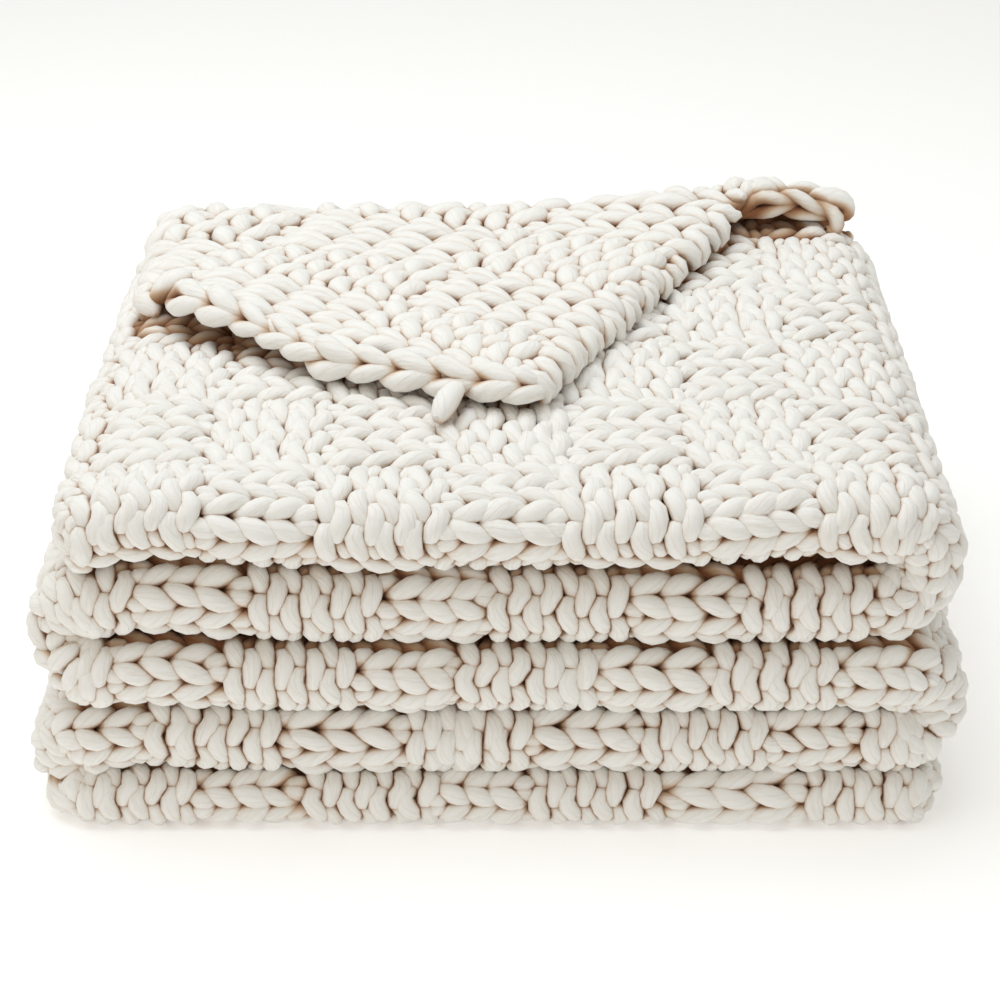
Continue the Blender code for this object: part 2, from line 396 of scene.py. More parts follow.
def course_to_x(boundaries):
    """Courses are counted from right to left, and course 4 starts at the first boundary."""
    courses = [BLOCK_COURSES * (i + 1) for i in range(len(boundaries))]
    more = 20  # courses at an even pitch past the first and last boundary
    courses = [courses[0] - more, *courses, courses[-1] + more]
    xs = [boundaries[0] + more * COURSE, *boundaries, boundaries[-1] - more * COURSE]
    leftwards = [-x for x in xs]
    return (
        lambda course: float(np.interp(course, courses, xs)),
        lambda x: float(np.interp(-x, leftwards, courses)),
    )


def basket(first_knit, wale_start):
    """1 where the stitch of a course and wale is knit, and -1 where it is purl."""

    def knit(course, wale):
        blocks = np.floor(course / BLOCK_COURSES) + np.floor((wale - wale_start) / BLOCK_WALES)
        return np.where((blocks % 2 == 0) == first_knit, 1.0, -1.0)

    return knit


# ---- yarn
# How finely yarn is modelled: points along a stitch, and sides round it (an even number). Yarn that is seen
# less is coarser.
Fineness = namedtuple("Fineness", "points sides")
FRONT_YARN, CORNER_YARN = Fineness(24, 10), Fineness(32, 12)
BACK_YARN, UNDER_YARN = Fineness(18, 8), Fineness(9, 6)
BACK_SHARE, FRONT_SHARE = 0.62, 1.12  # a yarn's radius behind and in front, as shares of YARN
PURL_THINNER = 0.04  # the heads of purl stitches are drawn tighter
KNIT_TAPER, PURL_TAPER = 1.5, 0.6  # how fast a yarn thins towards the back, and how much faster in purl
HIDDEN_END = np.array([0.26, 0.60, 0.88])  # how a cut yarn narrows over its last three points
SHELTER_DEPTH = 1.1  # how much deeper a crest counts once it is quite between two folds, so that it is painted in shade there
YARN_TWIST = 0.070  # length of yarn in which its two plies go once round
PATTERN_SHIFT = 0.37  # the fibres of each yarn start this much further along, so that no two are alike
dice = random.Random(11)
yarn_pieces, inner_pieces = [], []


Strand = namedtuple("Strand", "points radius out outward shelter")


def stitches(
    course, first, last, place, knit, points=FRONT_YARN.points, fullness=1.0, purl_swell=0.0, keep=None
):
    """The yarn through the stitches first to last of a course, as a list of strands.

    place(course, wale) gives the middle surface and its outward direction. Where keep(course, wale)
    is false the yarn is left out, and it narrows to a hidden end there.
    """
    wales = np.arange(first, last + 1)
    turn = np.arange(points) / points * 2 * math.pi
    wale, angle = np.repeat(wales, points), np.tile(turn, len(wales))
    neck = np.minimum(angle, 2 * math.pi - angle)  # 0 between two stitches, pi at the loop's head
    leg = 0.5 - 0.5 * np.cos(2 * neck)  # 1 halfway up a leg
    side = np.where(angle < math.pi, -1, 1)

    def shake(spread):
        return np.repeat([dice.gauss(0, spread) for _ in wales], points)

    own, above, beside = knit(course, wale), knit(course + 1, wale), knit(course, wale + side)
    rise = ease(neck - math.pi / 2, -KIND_CHANGE, KIND_CHANGE)
    kind = own * (1 - rise) + above * rise
    at_neck = ease(neck, -NECK_CHANGE, NECK_CHANGE)
    kind = kind * at_neck + beside * (1 - at_neck)
    purl = 0.5 - 0.5 * kind
    front = -np.cos(2 * neck) * kind  # 1 where the yarn lies in front, -1 where another covers it
    front = front + PURL_FORWARD * purl * (1 - front**2)
    wander = WANDER * np.sin(0.9 * course + 0.7 * wale + 1.3) * np.sin(0.5 * wale - 0.31 * course)
    bulge = KNIT_BULGE + (PURL_BULGE - KNIT_BULGE) * purl
    v = wale - 0.5 + angle / (2 * math.pi) + bulge * np.sin(2 * angle)
    v = v + leg * shake(WALE_SPREAD) + 0.5 * wander
    reach = KNIT_REACH + (PURL_REACH - KNIT_REACH) * purl
    u = course + 0.5 - np.cos(angle) * reach + leg * shake(COURSE_SPREAD) + wander
    u = u + purl * (PURL_LEAN + shake(PURL_LEANS)) * np.sin(2 * math.pi * (v - wale))
    out = fullness * CROSSING * front + leg * shake(HEIGHT_SPREAD)
    full = np.clip(0.5 + 0.5 * front, 0, 1) ** (KNIT_TAPER + PURL_TAPER * purl)
    radius = BACK_SHARE + (FRONT_SHARE - PURL_THINNER * purl - BACK_SHARE) * full
    radius = YARN * fullness * (1 + purl_swell * purl) * radius * (1 + shake(YARN_SPREAD) * leg)
    points_on, outward, shelter = place(u, v)
    points_on = points_on + outward * out[:, None]
    points_on[:, 2] = np.maximum(points_on[:, 2], radius)  # pressed flat where it meets the floor
    if keep is None:
        return [Strand(points_on, radius, out, outward, shelter)]
    stay = np.concatenate([[False], keep(u, v), [False]])
    ends = np.flatnonzero(np.diff(stay.astype(int)))
    strands = []
    for start, end in zip(ends[::2], ends[1::2]):
        if end - start > points // 2:
            part = radius[start:end].copy()
            part[:3] *= HIDDEN_END
            part[-3:] *= HIDDEN_END[::-1]
            rest = [values[start:end] for values in (out, outward, shelter)]
            strands.append(Strand(points_on[start:end], part, *rest))
    return strands


def add_object(name, data):
    thing = bpy.data.objects.new(name, data)
    bpy.context.scene.collection.objects.link(thing)
    return thing


def add_yarn(name, strands, sides=FRONT_YARN.sides):
    """Round yarn along every strand, as one piece with attributes for its fibres, depth and shelter, from
    which its material paints shade.
    """
    curve = bpy.data.curves.new(name, "CURVE")
    curve.dimensions = "3D"
    curve.bevel_depth = 1.0
    curve.bevel_resolution = sides // 2 - 2
    curve.use_fill_caps = True
    for strand in strands:
        spline = curve.splines.new("POLY")
        count = len(strand.points)
        spline.points.add(count - 1)
        spline.points.foreach_set("co", np.column_stack([strand.points, np.ones(count)]).ravel())
        spline.points.foreach_set("radius", strand.radius)
    holder = add_object(name + ".line", curve)
    depsgraph = bpy.context.evaluated_depsgraph_get()
    mesh = bpy.data.meshes.new_from_object(holder.evaluated_get(depsgraph))
    bpy.data.objects.remove(holder)
    mesh.name = name
    # A bevelled curve's mesh holds the end caps first, from the last strand back, then the tubes.
    caps, tubes = [], []
    ring = np.arange(sides) * 2 * math.pi / sides
    for number, strand in enumerate(strands):
        steps = np.linalg.norm(np.diff(strand.points, axis=0), axis=1)
        along = np.concatenate([[0.0], np.cumsum(steps)]) + PATTERN_SHIFT * number
        turning = ring[None, :] + (along / YARN_TWIST * 2 * math.pi)[:, None]
        fibre = [np.cos(turning), np.sin(turning), np.repeat(along[:, None], sides, axis=1)]
        line = np.column_stack([strand.points, strand.outward, strand.out, strand.shelter])
        line = np.repeat(line[:, None, :], sides, axis=1)
        values = np.concatenate([np.stack(fibre, axis=-1), line], axis=-1)
        tubes.append(values.reshape(-1, values.shape[-1]))
        caps[:0] = [values[-1], values[0]]
    values = np.concatenate(caps + tubes)
    if len(values) != len(mesh.vertices):
        raise RuntimeError(f"{name}: {len(values)} fibre values for {len(mesh.vertices)} points")
    fibre, centre, outward = values[:, :3], values[:, 3:6], values[:, 6:9]
    out, shelter = values[:, 9:].T
    spots = np.empty(3 * len(values), dtype=np.float32)
    mesh.vertices.foreach_get("co", spots)
    # 1 on the crest of a yarn that lies in front, and less the deeper it is between stitches or folds; the
    # material paints shade where it is low
    depth = (((spots.reshape(-1, 3) - centre) * outward).sum(axis=1) + out) / (CROSSING + YARN)
    depth = depth - SHELTER_DEPTH * shelter
    mesh.attributes.new("fibre", "FLOAT_VECTOR", "POINT").data.foreach_set("vector", fibre.ravel())
    mesh.attributes.new("depth", "FLOAT", "POINT").data.foreach_set("value", depth)
    mesh.attributes.new("shelter", "FLOAT", "POINT").data.foreach_set("value", shelter)
    mesh.shade_smooth()
    mesh.materials.clear()
    mesh.materials.append(ROVING)
    yarn_pieces.append(add_object(name, mesh))


def add_sheet(name, points, material, keep=lambda row, column: True):
    """A sheet through rows of points, without those that keep leaves out."""
    rows, columns = len(points), len(points[0])
    shape = bmesh.new()
    bmesh.ops.create_grid(shape, x_segments=rows - 1, y_segments=columns - 1, size=1.0)
    gone = []
    for vert in shape.verts:
        row = round((vert.co.x + 1) / 2 * (rows - 1))
        column = round((vert.co.y + 1) / 2 * (columns - 1))
        vert.co = points[row][column]
        if not keep(row, column):
            gone.append(vert)
    bmesh.ops.delete(shape, geom=gone, context="VERTS")
    mesh = bpy.data.meshes.new(name)
    shape.to_mesh(mesh)
    shape.free()
    mesh.shade_smooth()
    mesh.materials.append(material)
    return add_object(name, mesh)


# ---- materials
def colour(code):
    """A linear colour from its sRGB hex code."""
    values = [int(code[i : i + 2], 16) / 255 for i in (1, 3, 5)]
    return [v / 12.92 if v <= 0.04045 else ((v + 0.055) / 1.055) ** 2.4 for v in values] + [1.0]


def add_node(tree, kind, inputs=None, **settings):
    """Adds a node, sets its fields, and fills its inputs from values or from other nodes' outputs."""
    node = tree.nodes.new("ShaderNode" + kind)
    for name, value in settings.items():
        setattr(node, name, value)
    for name, value in (inputs or {}).items():
        if isinstance(value, bpy.types.NodeSocket):
            tree.links.new(value, node.inputs[name])
        else:
            node.inputs[name].default_value = value
    return node


def new_material(name):
    material = bpy.data.materials.new(name)
    material.use_nodes = True
    material.node_tree.nodes.clear()
    return material, material.node_tree


# The finest lines that show on the yarn are tufts of fibre, since single fibres are too thin to show.
# Larger bundles part along fine lines, where a little shade is painted into the colour.
TUFT_WIDTH, TUFT_LENGTH, BUNDLE_WIDTH = 0.0011, 0.0085, 0.0043
TUFT_RELIEF = 0.0009  # how high tufts and bundles stand
CREASE_REACH = 0.006  # yarn nearer than this darkens the yarn beside it with painted shade
SHELTER_SHADES = 0.7  # how much of its open air a stitch loses once it is quite between two folds, for painted shade there
# The yarn's own colour is ivory; the other three are painted shade, in creases, in hollows and along
# partings.
IVORY, CREASE_SHADE, HOLLOW_SHADE, PARTING_SHADE = "#FAF9F5", "#DBBE9D", "#96633F", "#CDB494"


def roving_material():
    """Undyed roving: soft, loosely twisted acrylic and wool yarn, knitted by hand.

    It is matt and its bundles of fibre show as fine lines along the yarn. Its colour is painted with warm tan
    and brown shade in the creases, hollows and partings between the stitches, for light that has passed
    through other yarn.
    """
    material, tree = new_material("undyed_roving_yarn")
    fibre = add_node(tree, "Attribute", attribute_name="fibre").outputs["Vector"]
    depth = add_node(tree, "Attribute", attribute_name="depth").outputs["Fac"]
    shelter = add_node(tree, "Attribute", attribute_name="shelter").outputs["Fac"]
    # Across the yarn the attribute counts in its radius, and along it in metres.
    stretch = (1.0, 1.0, TUFT_WIDTH / TUFT_LENGTH / YARN)
    lengthwise = add_node(tree, "VectorMath", {0: fibre, 1: stretch}, operation="MULTIPLY").outputs[0]
    tufts = add_node(
        tree, "TexNoise", {"Vector": lengthwise, "Scale": YARN / TUFT_WIDTH, "Detail": 4.0, "Roughness": 0.7}
    ).outputs["Fac"]
    bundles = add_node(
        tree, "TexNoise", {"Vector": lengthwise, "Scale": YARN / BUNDLE_WIDTH, "Detail": 0.0}
    ).outputs["Fac"]
    from_line = add_node(tree, "Math", {0: bundles, 1: 0.5}, operation="SUBTRACT").outputs[0]
    from_line = add_node(tree, "Math", {0: from_line}, operation="ABSOLUTE").outputs[0]
    # How much of the air within reach of a yarn's surface is free of other yarn, less between folds; where it
    # is low, shade is painted
    open_air = add_node(
        tree, "AmbientOcclusion", {"Distance": CREASE_REACH}, samples=4, only_local=True
    ).outputs["AO"]
    openness = add_node(
        tree, "Math", {0: shelter, 1: -SHELTER_SHADES, 2: open_air}, operation="MULTIPLY_ADD"
    ).outputs[0]
    # Each of these is 1 below its first limit, 0 above its second, and smooth between.
    masks = {}
    for mask, value, low, high in (
        ("parting", from_line, 0.0, 0.06),
        ("crease_by_air", openness, 0.28, 0.84),
        ("crease_by_depth", depth, 0.10, 0.64),
        ("hollow_by_air", openness, 0.14, 0.62),
        ("hollow_by_depth", depth, -0.30, 0.46),
    ):
        masks[mask] = add_node(
            tree,
            "MapRange",
            {"Value": value, "From Min": low, "From Max": high, "To Min": 1.0, "To Max": 0.0},
            interpolation_type="SMOOTHSTEP",
        ).outputs[0]
    # Painted shade: tan in the creases and brown in the hollows, where other yarn keeps the light out
    base = colour(IVORY)
    for form, tint in (("crease", CREASE_SHADE), ("hollow", HOLLOW_SHADE)):
        by_air, by_depth = masks[form + "_by_air"], masks[form + "_by_depth"]
        share = add_node(tree, "Math", {0: by_air, 1: by_depth}, operation="MAXIMUM").outputs[0]
        base = add_node(tree, "Mix", {"Factor": share, 6: base, 7: colour(tint)}, data_type="RGBA").outputs[2]
    # Painted shade along the partings between bundles
    parting_shade = add_node(tree, "Math", {0: masks["parting"], 1: 0.12}, operation="MULTIPLY").outputs[0]
    base = add_node(tree, "Mix", {"Factor": parting_shade, 6: base, 7: colour(PARTING_SHADE)}, data_type="RGBA").outputs[2]
    relief = 0.0
    for height, share in ((tufts, 0.8), (bundles, 0.6), (masks["parting"], -0.18)):
        relief = add_node(tree, "Math", {0: height, 1: share, 2: relief}, operation="MULTIPLY_ADD").outputs[0]
    bump = add_node(tree, "Bump", {"Height": relief, "Strength": 0.8, "Distance": TUFT_RELIEF})
    shader = add_node(
        tree,
        "BsdfPrincipled",
        {
            "Base Color": base,
            "Roughness": 0.88,
            "Specular IOR Level": 0.25,
            "Sheen Weight": 0.25,
            "Sheen Roughness": 0.5,
            "Sheen Tint": colour("#FFF9F0"),
            "Normal": bump.outputs[0],
        },
    )
    add_node(tree, "OutputMaterial", {"Surface": shader.outputs[0]})
    return material


INNER_TUFT = 0.0038  # size of the patches on the yarn deep inside


def shaded_inner_material():
    """The same yarn deep between the stitches, where light reaches it only through other yarn: its tan and
    brown are painted shade.
    """
    material, tree = new_material("yarn_between_stitches_painted_shade")
    place = add_node(tree, "TexCoord").outputs["Object"]
    tufts = add_node(tree, "TexNoise", {"Vector": place, "Scale": 1 / INNER_TUFT, "Detail": 3.0})
    shades = {"Factor": tufts.outputs["Fac"], 6: colour("#C99C72"), 7: colour("#E2C19E")}
    base = add_node(tree, "Mix", shades, data_type="RGBA")
    shader = add_node(tree, "BsdfPrincipled", {"Base Color": base.outputs[2], "Roughness": 0.95})
    add_node(tree, "OutputMaterial", {"Surface": shader.outputs[0]})
    return material


PAPER_GRAIN = 0.0167  # much coarser than real paper's, so that it shows at all


def floor_material():
    """Matt white paper sweep, lit a little from below so that it stays white."""
    material, tree = new_material("white_paper_sweep")
    place = add_node(tree, "TexCoord").outputs["Object"]
    grain = add_node(tree, "TexNoise", {"Vector": place, "Scale": 1 / PAPER_GRAIN})
    shades = {"Factor": grain.outputs["Fac"], 6: colour("#FAFAF9"), 7: colour("#FCFCFB")}
    base = add_node(tree, "Mix", shades, data_type="RGBA")
    shader = add_node(
        tree,
        "BsdfPrincipled",
        {
            "Base Color": base.outputs[2],
            "Roughness": 0.9,
            "Emission Color": (1.0, 1.0, 1.0, 1.0),
            "Emission Strength": 0.22,
        },
    )
    add_node(tree, "OutputMaterial", {"Surface": shader.outputs[0]})
    return material


ROVING, INNER_SHADE, FLOOR = roving_material(), shaded_inner_material(), floor_material()


# ---- front folds, top and sides
def front_cloth(cloth):
    """The cloth of one front fold, with the sides that turn round from it."""
    fold = FOLDS[cloth.fold]
    blocks = next(b for b in BLOCKS if b.fold == cloth.fold)
    to_x, to_course = course_to_x(blocks.boundaries)
    lower = 2 * cloth.fold
    wale_start = 0 if cloth.fold == TOP_FOLD else -1

    def side_of(x):
        if x > cloth.right.x:
            return cloth.right, cloth.right_part
        if x < cloth.left.x:
            return cloth.left, cloth.left_part
        return None, None

    def line(course, wales):
        x = to_x(course)
        turn, _ = side_of(x)
        held = turn.x if turn else x
        y, z = round_a_fold(lower, -1, held, wales * WALE)
        front, back = fold_round(lower, -1, held)[0], fold.back - fold.thickness
        y, z = curl_under(y, z, fold)
        shelter = np.maximum(between_folds(lower, -1, held, wales * WALE), FRONT_SHELTER)
        # On top, shade is painted under the turned-back corner and its lifted ends, and the open top is
        # painted lighter
        if cloth.fold == TOP_FOLD:
            lip = UNDER_LIP * ease(held, *LIP) + UNDER_LEFT * ease(-held, *LEFT_LIFT)
            under_corner = ease(y - flap_edge_y(held) + lip, *UNDER_CORNER)
            on_top = DEEP_UNDER * under_corner - OPEN_TOP * (1 - under_corner)
            shelter = np.where(wales > 0, on_top, shelter)
        points, outward, angle = lay(turn, x, y, z, front, back)
        if turn:
            flank = ease(np.abs(wales) * WALE, *FLANK)
            open_side = ease(angle, 0.0, RING_OPENS)
            shelter = np.maximum(shelter * (1 - open_side), flank * between_turns(turn, angle))
            shelter = shelter * (1 - ease(y, *RING_BACK))
        return points, outward, shelter

    def wales_of(course):
        """The first and last stitch of a course, or None where it has none."""
        x = to_x(course + 0.5)
        turn, part = side_of(x)
        angle = turn_angle(turn, abs(x - turn.x), 0.0)[1] if turn else 0.0
        if part == "under":
            return (-1, 1) if angle < UNDER_ENDS else None
        if part == "alone":
            return (0, RING_WALES - 1) if angle < RING_ENDS else None
        if part == "over":
            if angle < OVER_ENDS:
                return -1, RING_WALES - 1
            return (2, RING_WALES - 1) if angle < RING_ENDS else None
        if cloth.fold == TOP_FOLD:
            hidden_from = flap_edge_y(x) + TOP_GOES_UNDER
            return cloth.first_wale, int((hidden_from - TOP_TURN + TOP_QUARTER) / WALE + 0.5)
        return cloth.first_wale, 2

    rightmost, leftmost = math.floor(to_course(FARTHEST)), math.ceil(to_course(-FARTHEST))
    courses = [c for c in range(rightmost, leftmost) if wales_of(c)]
    us = np.arange(courses[0] - 1.0, courses[-1] + 3.01, COURSE_STEP)
    first_wale = UNDER_WALES[0] - 1.0 if cloth.fold == 0 else -4.0
    vs = np.arange(first_wale, RING_WALES + 1.0, WALE_STEP)
    spread = Spread(us, vs, line)
    knit = basket(blocks.first_knit, wale_start)
    strands, under = [], []
    for course in courses:
        first, last = wales_of(course)
        strands += stitches(course, first, last, spread.at, knit)
        if cloth.fold == 0 and side_of(to_x(course + 0.5))[0] is None:
            under += stitches(course, *UNDER_WALES, spread.at, knit, points=UNDER_YARN.points)
    if under:
        add_yarn("yarn.underside", under, sides=UNDER_YARN.sides)
    half = (len(strands) + 1) // 2
    for part, group in (("right", strands[:half]), ("left", strands[half:])):
        add_yarn(f"yarn.{cloth.name}_{part}", group)

    def behind(row, column):
        """True just inside the turned sides, where there are stitches to back."""
        u, v = us[2 * row], vs[2 * column]
        wales, x = wales_of(round(u - 0.5)), to_x(u)
        turned_side = x > cloth.right.x - SIDE_BACKING or x < cloth.left.x + SIDE_BACKING
        return bool(wales) and turned_side and wales[0] - BACKING_PAST <= v <= wales[1] + BACKING_PAST

    # A sheet inside the turned sides stands in for the yarn deep behind their stitches and stops the eye
    # seeing through; its brown is painted shade.
    points = (spread.points - spread.outward * INSET)[::2, ::2]
    inner_pieces.append(add_sheet(f"inner.{cloth.name}", points, INNER_SHADE, behind))


for each in FRONT_CLOTHS:
    front_cloth(each)


# ---- back folds
def back_cloth(number):
    """The cloth of one back fold, closed at both ends. Its wales are counted downwards.

    Each fold's courses lie half a course further along than those of the fold below it.
    """
    lower = 2 * number + 1
    fold = FOLDS[number]
    turns = [Turn(side, side * BACK_END, lower + 1, lower, 1.0) for side in (-1, 1)]

    def line(course, wales):
        x = (course - 0.5 * number) * COURSE
        turn = turns[int(x > 0)] if abs(x) > BACK_END else None
        held = turn.x if turn else x
        y, z = round_a_fold(lower, 1, held, -wales * WALE)
        points, outward, _ = lay(turn, x, y, z, y_front=-0.2, y_back=fold_round(lower, 1, held)[0])
        return points, outward, BACK_SHELTER * between_folds(lower, 1, held, wales * WALE)

    middle = round(BACK_END / COURSE + 0.5 * number)
    start = math.ceil(-BACK_END / COURSE + 0.5 * number)
    us = np.arange(start - 4.0, middle + 4.01, COURSE_STEP)
    spread = Spread(us, np.arange(-4.0, 4.01, WALE_STEP), line)
    knit = basket(number % 2 == 0, -1)
    strands = []
    for course in range(start - 2, middle + 2):
        inside = start <= course < middle
        strands += stitches(course, -1, 1 if inside else 0, spread.at, knit, points=BACK_YARN.points)
    add_yarn(f"yarn.back_{fold.name}", strands, sides=BACK_YARN.sides)


for each in range(4):
    back_cloth(each)


# ---- turned-back corner
def corner_line(x, reaches):
    """The cloth over the last fold at the back and forward to the free edge, laid out flat.

    reaches are counted from front to back as y on the flat part, and on round the fold.
    """
    turn = RIGHT_CORNER if x > RIGHT_CORNER.x else LEFT_CORNER if x < LEFT_CORNER.x else None
    held = turn.x if turn else x
    back, _, radius = fold_round(FLAP_LAYER - 1, 1, held)
    away = back + math.pi / 2 * (radius + OUTSIDE) - reaches
    y, z = round_a_fold(FLAP_LAYER - 1, 1, held, away)
    under = between_folds(FLAP_LAYER - 1, 1, held, away)
    shelter = np.where(away < 0, BACK_SHELTER * under, CORNER_SHELTER)
    points, outward, angle = lay(turn, x, y, z, y_front=-0.1, y_back=back, tuck=CORNER_TUCK)
    if turn:
        points[:, 0] += turn.side * CORNER_FLARE * ease(y, *FLARE_BACK) * math.sin(angle / 2)
        shelter = np.maximum(shelter, between_turns(turn, angle))
    return points, outward, shelter


TIP, RIGHT_TIP = FLAP_EDGE[3], FLAP_EDGE[5]
# Between these places the curl gives way to the lip, and the yarns' own ends go over to the curl and the lip.
LIP_TAKES_OVER = (RIGHT_TIP.x - 0.010, RIGHT_TIP.x + 0.006)
ENDS_CURL, ENDS_LAP = (TIP.x, TIP.x + 0.008), (RIGHT_TIP.x - 0.004, RIGHT_TIP.x + 0.006)
# A grid in metres that reaches past the corner on every side
CORNER = Spread(np.arange(-0.26, 0.2601, 0.004), np.arange(-0.14, 0.2901, 0.003), corner_line)


def grain_terms(course, wale):
    """The terms of the smooth surface of second order that is fitted through CORNER_GRAIN."""
    return np.stack([1 + 0 * course, course, wale, course * wale, course**2, wale**2], axis=-1)


known = np.array(CORNER_GRAIN)
GRAIN = np.linalg.lstsq(grain_terms(known[:, 0], known[:, 1]), known[:, 2:], rcond=None)[0]


def on_grain(course, wale):
    """Where a stitch of the corner lies on its cloth, as x and reach."""
    return np.moveaxis(grain_terms(course, wale) @ GRAIN, -1, 0)


def past_edge(x, reach):
    """How far a place on the cloth is past the free edge, square to it, and the way back over the edge."""
    slope = (flap_edge_y(x + NEAR) - flap_edge_y(x - NEAR)) / (2 * NEAR)
    steep = np.sqrt(1 + slope**2)
    return (flap_edge_y(x) - reach) / steep, -slope / steep, 1 / steep


def corner_place(course, wale):
    """Where a stitch of the corner lies.

    Next to the free edge the yarn dives under the chain there, and right of the tip the cloth curls down.
    """
    x, reach = on_grain(course, wale)
    past, back_x, back_y = past_edge(x, reach)
    right_of_tip = ease(x, TIP.x, TIP.x + TIP_ENDS)
    curls = right_of_tip * (1 - ease(x, *LIP_TAKES_OVER))
    curled = np.maximum(past + CURL_START, 0) * curls
    angle = np.minimum(curled / CURL, CURL_MOST)
    over = curled - CURL * np.sin(angle)
    points, outward, shelter = CORNER.at(x + back_x * over, reach + back_y * over)
    depth = np.where(x < CHAIN_FROM, SEAM_DIVE, EDGE_DIVE * (1 - right_of_tip))
    dive = depth * (1 - ease(reach - flap_edge_y(x), *EDGE_DIVES)) + CURL * (1 - np.cos(angle))
    forward = -np.stack([back_x, back_y, 0 * back_x], axis=-1)
    turned_out = outward * np.cos(angle)[:, None] + forward * np.sin(angle)[:, None]
    return points - outward * dive[:, None], turned_out, shelter


def corner_knit(course, wale):
    blocks = np.floor((course - 1) / CORNER_BLOCK_COURSES) + np.floor(wale / BLOCK_WALES)
    return np.where((blocks % 2 == 1) | (wale < 1) | (course < 1), 1.0, -1.0)


def corner_keeps(course, wale):
    """True on the turned-back cloth: behind its free edge, short of the fold's far side, within its sides."""
    x, reach = on_grain(course, wale)
    back, _, radius = fold_round(FLAP_LAYER - 1, 1, 0.0)
    last = back + math.pi * (radius + OUTSIDE) + CORNER_GOES_UNDER
    wide = (x > LEFT_CORNER.x - CORNER_PAST_LEFT) & (x < RIGHT_CORNER.x + CORNER_PAST_RIGHT)
    last_past = np.interp(x, ENDS_CURL + ENDS_LAP, (-BEHIND_CHAIN, CURL_PAST, CURL_PAST, LIP_LAP))
    return (past_edge(x, reach)[0] < last_past) & (reach < last) & wide


# More than the corner can hold: corner_keeps cuts them to its outline.
CORNER_COURSES, CORNER_WALES = range(-9, 23), (-3, 22)
corner_strands = []
for course in CORNER_COURSES:
    corner_strands += stitches(
        course,
        *CORNER_WALES,
        corner_place,
        corner_knit,
        points=CORNER_YARN.points,
        fullness=CORNER_FULLNESS,
        purl_swell=CORNER_PURL_SWELL,
        keep=corner_keeps,
    )
add_yarn("yarn.corner", corner_strands, sides=CORNER_YARN.sides)


# ---- chain along the free edge
EDGE_SOFTENED = 0.012
edge = np.array(FLAP_EDGE)
edge_steps = np.concatenate([[0], np.cumsum(np.hypot(*np.diff(edge, axis=0).T))])


def edge_at(distance):
    """A place on the free edge, measured from its left end, softened over EDGE_SOFTENED each way."""
    near = distance + np.linspace(-EDGE_SOFTENED, EDGE_SOFTENED, 7)
    past = np.minimum(near, 0) + np.maximum(near - edge_steps[-1], 0)  # it goes on straight at its ends
    spots = [np.interp(near, edge_steps, edge[:, axis]).mean() for axis in (0, 1)]
    return np.array(spots) + np.array([past.mean(), 0.0])


# One part runs along the front, and one along the lip at the right end. left and right say where it is
# across, fullness how full its stitches are, varies how much they vary and sway, roll on what radius it
# rolls over, tilt how far forward it leans, dive how deep it sits, shelter how much painted shade its upper
# row has.
EdgeChain = namedtuple("EdgeChain", "left right fullness varies roll tilt dive shelter")
LIP_FROM, LIP_TO = RIGHT_TIP.x - 0.002, FLAP_EDGE[-1].x - 0.004
EDGE_CHAINS = (
    EdgeChain(CHAIN_FROM, TIP.x + 0.004, 0.96, 0.06, 0.0037, math.radians(50), 0.0, 0.0),
    EdgeChain(LIP_FROM, LIP_TO, 0.80, 0.12, 0.0030, math.radians(92), 0.0050, 0.25),
)
CHAIN_STEP = WALE_STEP / 2  # a chain turns over within one wale, so its grid is finer


def all_knit(course, wale):
    return 1.0 + 0.0 * wale


def edge_chain(part):
    """Strands of one part of the chain, where the free edge rolls over to its underside."""
    start = float(np.interp(part.left, edge[:, 0], edge_steps))
    end = float(np.interp(part.right, edge[:, 0], edge_steps))

    def line(course, wales):
        distance = end - course * EDGE_STITCH
        spots = np.array([edge_at(distance + step) for step in (-NEAR, NEAR)])
        points, upward, _ = CORNER.at(spots[:, 0], spots[:, 1])
        along = (points[1] - points[0]) / np.linalg.norm(points[1] - points[0])
        forward = np.cross(along, upward[0])
        sway = part.varies * math.sin(distance / CHAIN_WAVE)
        angle = part.tilt + 2 * sway + wales * math.pi
        out = np.sin(angle)[:, None] * forward + np.cos(angle)[:, None] * upward[0]
        from_end = min(distance - start, end - distance)
        dive = part.dive + CHAIN_DIVE * (1 - ease(from_end, *CHAIN_ENDS))
        middle = points.mean(axis=0) - forward * (CHAIN_INSIDE + CHAIN_SWAY * sway) - upward[0] * dive
        shelter = np.maximum(part.shelter, ease(angle, *CHAIN_SHELTER))
        return middle + out * part.roll, out, shelter

    count = int((end - start) / EDGE_STITCH)
    chain = Spread(np.arange(-1.0, count + 2.01, COURSE_STEP), np.arange(-1.0, 1.01, CHAIN_STEP), line)
    strands = []
    for course in range(count):
        full = part.fullness * dice.uniform(1 - part.varies, 1 + part.varies)
        strands += stitches(course, 0, 0, chain.at, all_knit, fullness=full)
    return strands


edge_strands = [strand for part in EDGE_CHAINS for strand in edge_chain(part)]
